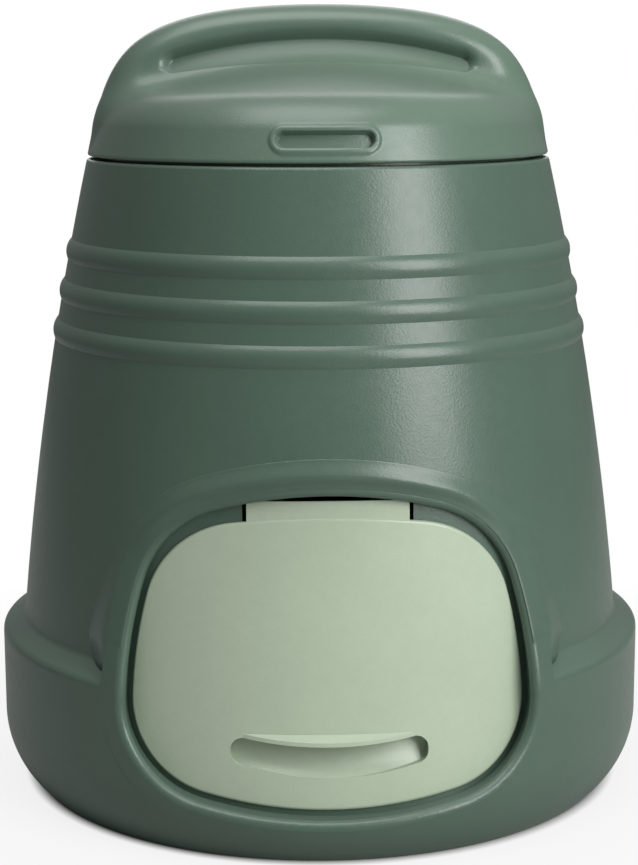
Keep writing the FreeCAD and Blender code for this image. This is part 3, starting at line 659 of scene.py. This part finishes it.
def turned(bm, profile, steps=128):
    """Turns a closed profile of (radius, height) corners all the way round."""
    corners = [bm.verts.new((r, 0.0, z)) for r, z in profile]
    edges = [bm.edges.new(pair) for pair in zip(corners, corners[1:] + corners[:1])]
    bmesh.ops.spin(bm, geom=corners + edges, cent=(0, 0, 0), axis=(0, 0, 1),
                   angle=math.radians(360), steps=steps, use_merge=True, use_duplicate=False)


def scoop_corner(bm, scoop):
    """The fill in one upper corner of the scoop: an upright block with a hollow round side."""
    edge, top = scoop.half + scoop.overlap, scoop.top + scoop.overlap
    centre_x, centre_up = scoop.half - scoop.corner, scoop.top - scoop.corner
    outline = [(centre_x, top), (edge, top), (edge, centre_up)]
    outline += [(centre_x + scoop.corner * math.cos(turn),
                 centre_up + scoop.corner * math.sin(turn))
                for turn in stations((0.0, RIGHT_ANGLE, 12))]
    rim = []
    for x, up in outline:
        face = scoop.curve - math.sqrt(scoop.curve ** 2 - x * x)
        rim.append(bm.verts.new((x, face - scoop.proud, up)))
    bm.faces.new(rim)
    grown = bmesh.ops.extrude_face_region(bm, geom=bm.faces[:])["geom"]
    back = [part for part in grown if isinstance(part, bmesh.types.BMVert)]
    bmesh.ops.translate(bm, verts=back, vec=(0.0, scoop.depth, 0.0))


# Operators: one for each moulding, and one for the stage

class BIN_OT_tub(bpy.types.Operator):
    """Finish the tub in dark green polyethylene, and lay the soft hood over the hatch."""
    bl_idname = "compost_bin.tub"
    bl_label = "Tub"

    def execute(self, context):
        colours, _ = settings()
        # 0.10 is the share of painted top light on faces that look up
        material = moulded("moulded_polyethylene_dark_green", colours.tub, 0.10)
        for name in ("body_shell", "neck_ring"):
            finish_node(name, material)
        form = HoodForm(context.scene.compost_bin_hood)
        bm = bmesh.new()
        lay_grid(bm, form.columns())
        mirror_across(bm)
        new_piece(bm, "surround_hood", "body", material, form.skin)
        return {"FINISHED"}


class BIN_OT_lid(bpy.types.Operator):
    """Model the lid as one blended skin, in a green with painted top light on faces that look up.
    """
    bl_idname = "compost_bin.lid"
    bl_label = "Lid"

    def execute(self, context):
        colours, _ = settings()
        # 0.16 is the share of painted top light on faces that look up
        material = moulded("moulded_polyethylene_lid_green", colours.lid, 0.16)
        form = LidForm(context.scene.compost_bin_lid)
        # Columns along the spine, closest at the slot's ends and the pocket's, then round its end
        along = stations((0, 34, 10), (34, 58, 20), (58, 128, 16), (128, form.spine / MM, 28))
        places = [(x * MM, RIGHT_ANGLE) for x in along]
        round_end = 22
        places += [(form.spine, RIGHT_ANGLE * (1 - i / round_end))
                   for i in range(1, round_end + 1)]
        bm = bmesh.new()
        for front in (True, False):
            lay_grid(bm, [form.column(start, aim, front) for start, aim in places])
        mirror_across(bm)
        piece = new_piece(bm, "lid_moulding", "lid", material, form.wall)
        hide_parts("lid_shell", "lid_rim")

        bm = bmesh.new()
        seat, top = form.seat_height, form.seat_height + form.wall
        turned(bm, [(form.seat_inside, seat), (form.seat_outside, seat),
                    (form.seat_outside, top), (form.seat_inside, top)])
        new_piece(bm, "lid_seat_ring", "lid", material)
        return {"FINISHED"}


class BIN_OT_hatch(bpy.types.Operator):
    """Finish the emptying hatch in pale sage polypropylene, and round its scoop's corners."""
    bl_idname = "compost_bin.hatch"
    bl_label = "Hatch"

    def execute(self, context):
        colours, _ = settings()
        # 0.05 is the share of painted top light on faces that look up
        material = moulded("moulded_polypropylene_sage", colours.hatch, 0.05, 0.7)
        finish_node("hatch_panel", material)
        hood = context.scene.compost_bin_hood
        bm = bmesh.new()
        scoop_corner(bm, context.scene.compost_bin_scoop)
        mirror_across(bm)
        leaning = (Matrix.Translation((0.0, hood.face_y, hood.face_z))
                   @ Matrix.Rotation(math.radians(-hood.lean), 4, "X"))
        bmesh.ops.transform(bm, matrix=leaning, verts=bm.verts)
        new_piece(bm, "scoop_corners", "hatch", material)
        return {"FINISHED"}


class BIN_OT_pins(bpy.types.Operator):
    """Finish the two hinge pins in dark moulded nylon."""
    bl_idname = "compost_bin.pins"
    bl_label = "Hinge pins"

    def execute(self, context):
        colours, _ = settings()
        material = moulded("moulded_nylon_dark_green", colours.pins, 0.0, 0.3)
        for side in ("left", "right"):
            finish_node("hinge_pin_" + side, material)
        return {"FINISHED"}


# The stage

AIR_LEVEL = 0.20               # strength of the white surroundings as light on the bin
BIN_REACH = 0.33               # radius of the floor inside the bin's foot, in metres
DARK_REACH = 0.96              # share of that radius where the floor is still plain paper
SHADE_REACH = 0.9              # radius where the floor's last shade has run out
NEAR_WHITE = 0.85              # share of plain white just outside the bin


def backdrop_material(name, value):
    """Matt pale paper: plain white to a camera, but shaded near the bin and dark inside it."""
    material, tree = blank(name)
    paper = add(tree, "BsdfPrincipled", Base_Color=value, Roughness=0.9)
    white = add(tree, "Emission", Color=WHITE, Strength=1.0)
    place = add(tree, "TexCoord").outputs["Object"]
    reach = add(tree, "VectorMath", {0: place}, operation="LENGTH").outputs["Value"]
    along = add(tree, "MapRange", {"Value": reach})
    along.inputs["From Max"].default_value = SHADE_REACH
    edge = BIN_REACH / SHADE_REACH
    share = ramp(tree, along.outputs["Result"],
                 [(edge * DARK_REACH, BLACK), (edge, tone(WHITE, NEAR_WHITE)), (1.0, WHITE)])
    seen = add(tree, "Math", {0: add(tree, "LightPath").outputs["Is Camera Ray"],
                              1: share.outputs["Color"]}, operation="MULTIPLY")
    mix = add(tree, "MixShader", {"Fac": seen.outputs["Value"], 1: paper.outputs["BSDF"],
                                  2: white.outputs["Emission"]})
    add(tree, "OutputMaterial", {"Surface": mix.outputs["Shader"]})
    return material


def soft_light(name, place, aim, size, power):
    """Softbox of a given width and height that looks at a point."""
    data = bpy.data.lights.new(name, "AREA")
    data.shape = "RECTANGLE"
    data.size, data.size_y = size
    data.energy = power
    lamp = bpy.data.objects.new(name, data)
    bpy.context.scene.collection.objects.link(lamp)
    lamp.location = place
    lamp.rotation_euler = (Vector(aim) - Vector(place)).to_track_quat("-Z", "Y").to_euler()


class BIN_OT_stage(bpy.types.Operator):
    """Set the floor, the soft lights, the pale surroundings and the camera."""
    bl_idname = "compost_bin.stage"
    bl_label = "Stage"

    def execute(self, context):
        stage = context.scene.compost_bin_stage
        bm = bmesh.new()
        bmesh.ops.create_grid(bm, x_segments=1, y_segments=1, size=stage.floor_reach)
        mesh = bpy.data.meshes.new("floor")
        bm.to_mesh(mesh)
        bm.free()
        floor = bpy.data.objects.new("floor", mesh)
        context.scene.collection.objects.link(floor)
        mesh.materials.append(backdrop_material("floor_paper", colour("b8b8b6")))

        world = bpy.data.worlds.new("studio")
        context.scene.world = world
        world.use_nodes = True
        tree = world.node_tree
        tree.nodes.clear()
        path = add(tree, "LightPath")
        level = add(tree, "MapRange", {"Value": path.outputs["Is Camera Ray"]})
        level.inputs["To Min"].default_value = AIR_LEVEL
        level.inputs["To Max"].default_value = 1.0
        air = add(tree, "Background", {"Strength": level.outputs["Result"]}, Color=WHITE)
        add(tree, "OutputWorld", {"Surface": air.outputs["Background"]})

        middle = (0.0, 0.0, 0.45)
        soft_light("key_panel", (1.66, -1.90, 1.50), middle, (1.2, 2.2), 70.0)
        soft_light("top_panel", (-0.30, -0.80, 3.20), middle, (2.0, 2.0), 45.0)
        soft_light("back_panel", (0.0, 2.60, 2.00), middle, (2.4, 2.4), 26.0)

        data = bpy.data.cameras.new("camera")
        data.lens = stage.lens
        data.clip_end = 50.0
        camera = bpy.data.objects.new("camera", data)
        context.scene.collection.objects.link(camera)
        turn = stage.camera_turn
        place = Vector((math.sin(turn), -math.cos(turn), 0.0)) * stage.camera_distance
        place.z = stage.camera_height
        aim = (Matrix.Rotation(turn, 4, "Z")
               @ Matrix.Rotation(RIGHT_ANGLE - stage.camera_tilt, 4, "X")
               @ Matrix.Rotation(-stage.camera_roll, 4, "Z"))
        camera.matrix_world = Matrix.Translation(place) @ aim
        context.scene.camera = camera
        context.scene.view_settings.view_transform = "Standard"
        return {"FINISHED"}


class BIN_PT_panel(bpy.types.Panel):
    """Lists the bin's colours, surface sizes and pieces."""
    bl_idname = "BIN_PT_panel"
    bl_label = "Compost Bin"
    bl_space_type = "VIEW_3D"
    bl_region_type = "UI"
    bl_category = "Compost Bin"

    def draw(self, context):
        scene = context.scene
        for group in GROUPS:
            box = self.layout.box()
            for name in property_names(getattr(scene, group)):
                box.prop(getattr(scene, group), name)
        for operator in OPERATORS:
            self.layout.operator(operator.bl_idname)


GROUPS = {"compost_bin_colours": BinColours, "compost_bin_surface": BinSurface,
          "compost_bin_lid": BinLid, "compost_bin_hood": BinHood, "compost_bin_scoop": BinScoop,
          "compost_bin_stage": BinStage}
OPERATORS = (BIN_OT_tub, BIN_OT_lid, BIN_OT_hatch, BIN_OT_pins, BIN_OT_stage)


def register():
    for cls in (*GROUPS.values(), *OPERATORS, BIN_PT_panel):
        bpy.utils.register_class(cls)
    for name, cls in GROUPS.items():
        setattr(bpy.types.Scene, name, PointerProperty(type=cls))


def unregister():
    for name in GROUPS:
        delattr(bpy.types.Scene, name)
    for cls in (BIN_PT_panel, *reversed(OPERATORS), *reversed(GROUPS.values())):
        bpy.utils.unregister_class(cls)


def main():
    register()
    bpy.ops.compost_bin.tub()
    bpy.ops.compost_bin.lid()
    bpy.ops.compost_bin.hatch()
    bpy.ops.compost_bin.pins()
    bpy.ops.compost_bin.stage()


if __name__ == "__main__":
    main()
